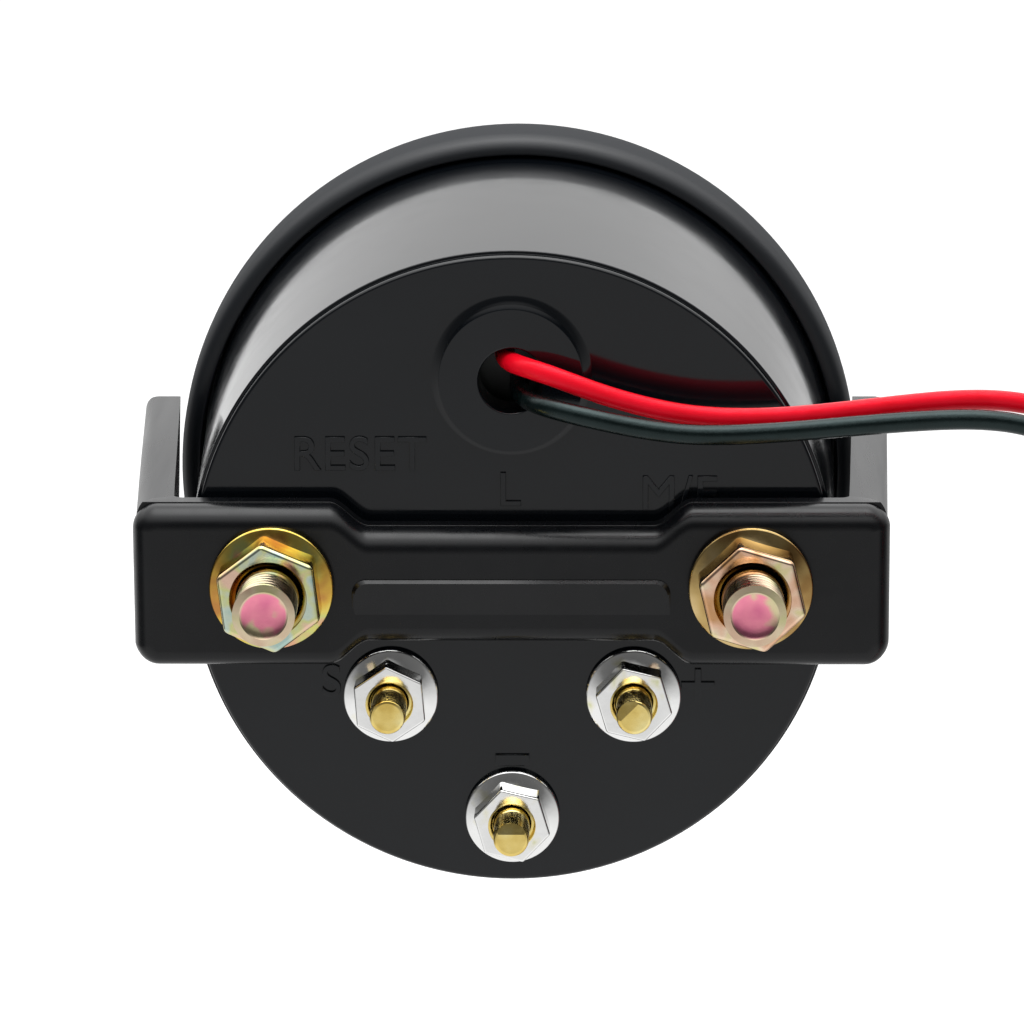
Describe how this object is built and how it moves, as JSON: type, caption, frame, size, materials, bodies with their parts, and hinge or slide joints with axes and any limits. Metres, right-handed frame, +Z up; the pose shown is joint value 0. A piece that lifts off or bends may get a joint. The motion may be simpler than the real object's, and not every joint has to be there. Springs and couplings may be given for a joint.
{
  "type": "water temperature gauge",
  "caption": "Round electric panel gauge for water temperature, with a black case, a U bracket held by studs and flange nuts, screw terminals and lamp leads.",
  "frame": {"origin": "on the gauge's axis, in the plane where the bezel's rim seats on the panel", "axes": "+Y along the gauge's axis towards the side that is read, +Z up, so the back plate and studs face -Y"},
  "size_m": [0.0854, 0.0642, 0.1214],
  "materials": {
    "black_abs": "glossy moulded",
    "black_nylon": "satin moulded",
    "black_rubber": "matt",
    "clear_glass": "polished",
    "dial_black": "matt printed",
    "pointer_red": "satin",
    "white_abs": "satin moulded",
    "movement_grey": "satin moulded",
    "board_green": "solder mask",
    "lamp_clear": "clear cast",
    "steel": "plated",
    "zinc_yellow": "zinc plated, yellow passivated",
    "brass": "turned",
    "nickel": "nickel plated",
    "red_pvc": "glossy insulation",
    "black_pvc": "glossy insulation",
    "tinned_copper": "tinned"
  },
  "bodies": {
    "gauge": {"housing": "black_abs", "bezel": "black_abs", "lens_gasket": "black_rubber", "lens": "clear_glass", "trim_ring": "black_abs", "dial": "dial_black", "light_box": "white_abs", "circuit_board": "board_green", "movement_case": "movement_grey", "lamp_1": "lamp_clear", "lamp_2": "lamp_clear", "lamp_3": "lamp_clear", "lamp_4": "lamp_clear", "dial_screw_left": "steel", "dial_screw_right": "steel", "mount_stud_left": "zinc_yellow", "mount_stud_right": "zinc_yellow", "terminal_stud_signal": "brass", "terminal_stud_plus": "brass", "terminal_stud_minus": "brass", "mount_nut_left": "zinc_yellow", "mount_nut_right": "zinc_yellow", "terminal_nut_signal": "nickel", "terminal_nut_plus": "nickel", "terminal_nut_minus": "nickel", "bracket": "black_nylon", "lead_red": "red_pvc", "lead_red_end": "tinned_copper", "lead_black": "black_pvc", "lead_black_end": "tinned_copper"},
    "needle": {"pointer": "pointer_red", "pointer_cap": "black_abs", "spindle": "steel"}
  },
  "joints": [
    {"name": "pointer_turn", "type": "hinge", "parent": "gauge", "child": "needle", "pos_m": [0, 0, 0], "axis": [0, -1, 0], "range_deg": [0, 240]}
  ]
}
